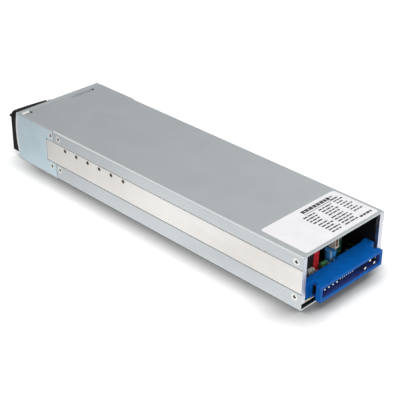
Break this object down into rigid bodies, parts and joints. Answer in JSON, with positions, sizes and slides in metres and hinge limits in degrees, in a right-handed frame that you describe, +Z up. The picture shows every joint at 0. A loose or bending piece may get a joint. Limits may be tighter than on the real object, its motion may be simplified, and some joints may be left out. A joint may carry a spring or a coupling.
{
  "type": "rack-mount power supply",
  "caption": "Slim hot-swap rack power supply: folded metal case with aluminium side rails, fan and swinging pull at the front, open rear with a shrouded power connector.",
  "frame": {"origin": "centre of the bottom face of the case", "axes": "+Y along the module towards the rear connector, +Z up out of the top cover, +X to the side that is on the right when the front panel is faced"},
  "size_m": [0.085, 0.3182, 0.041],
  "materials": {
    "galvanised_sheet": "galvanised, matt",
    "zinc_plated_sheet": "blue zinc plated",
    "rail_aluminium": "drawn, matt",
    "screw_steel": "nickel plated",
    "black_plastic": "moulded, fine grain",
    "blue_plastic": "moulded, satin",
    "green_board": "solder mask over glass laminate",
    "black_film": "insulating film",
    "brass_parts": "plated",
    "copper_winding": "enamelled wire",
    "dark_winding": "enamelled wire on a black core",
    "dark_sleeve": "shrunk sleeve",
    "blue_sleeve": "shrunk sleeve",
    "red_dip": "dipped resin",
    "yellow_plastic": "tape and moulded case",
    "cream_plastic": "moulded",
    "ferrite": "pressed and ground",
    "ceramic": "fired tube",
    "light_pipe": "clear moulding"
  },
  "bodies": {
    "case": {"blue_capacitor": "blue_sleeve", "board_screws": "screw_steel", "board_spacers": "brass_parts", "boost_choke": "copper_winding", "bottom_cover": "galvanised_sheet", "bulk_capacitor_1": "dark_sleeve", "bulk_capacitor_2": "dark_sleeve", "bulk_capacitor_3": "dark_sleeve", "connector_housing": "blue_plastic", "connector_screws": "screw_steel", "control_board": "green_board", "control_chips": "black_plastic", "cover_screws": "screw_steel", "fan_bearing": "brass_parts", "fan_frame": "black_plastic", "fan_guard": "zinc_plated_sheet", "fan_screws": "screw_steel", "fan_stator": "copper_winding", "filter_choke_1": "dark_winding", "filter_choke_2": "dark_winding", "front_frame": "zinc_plated_sheet", "front_screws": "screw_steel", "fuse": "ceramic", "fuse_clips": "brass_parts", "header_pins": "brass_parts", "hinge_bracket": "zinc_plated_sheet", "hinge_pin": "screw_steel", "inlet_pins": "brass_parts", "insulating_sheet": "black_film", "line_capacitor": "yellow_plastic", "main_board": "green_board", "output_capacitor_1": "dark_sleeve", "output_capacitor_2": "dark_sleeve", "output_capacitor_3": "dark_sleeve", "output_capacitor_4": "dark_sleeve", "output_choke": "copper_winding", "power_blades": "brass_parts", "rail_screws": "screw_steel", "red_capacitor": "red_dip", "relay": "black_plastic", "side_rail_left": "rail_aluminium", "side_rail_right": "rail_aluminium", "signal_pins": "brass_parts", "status_lights": "light_pipe", "top_cover": "galvanised_sheet", "transformer_core": "ferrite", "transformer_winding": "yellow_plastic", "transistor_screws": "screw_steel", "transistors_left": "black_plastic", "transistors_right": "black_plastic", "wafer_header": "cream_plastic"},
    "fan": {"fan_rotor": "black_plastic", "fan_shaft": "screw_steel"},
    "handle": {"pull_handle": "black_plastic"}
  },
  "joints": [
    {"name": "fan_spin", "type": "hinge", "parent": "case", "child": "fan", "pos_m": [-0.021, -0.133, 0.0205], "axis": [0, 1, 0], "continuous": true},
    {"name": "handle_hinge", "type": "hinge", "parent": "case", "child": "handle", "pos_m": [0.0055, -0.1534, 0.0233], "axis": [0, 0, -1], "range_deg": [0, 90]}
  ]
}
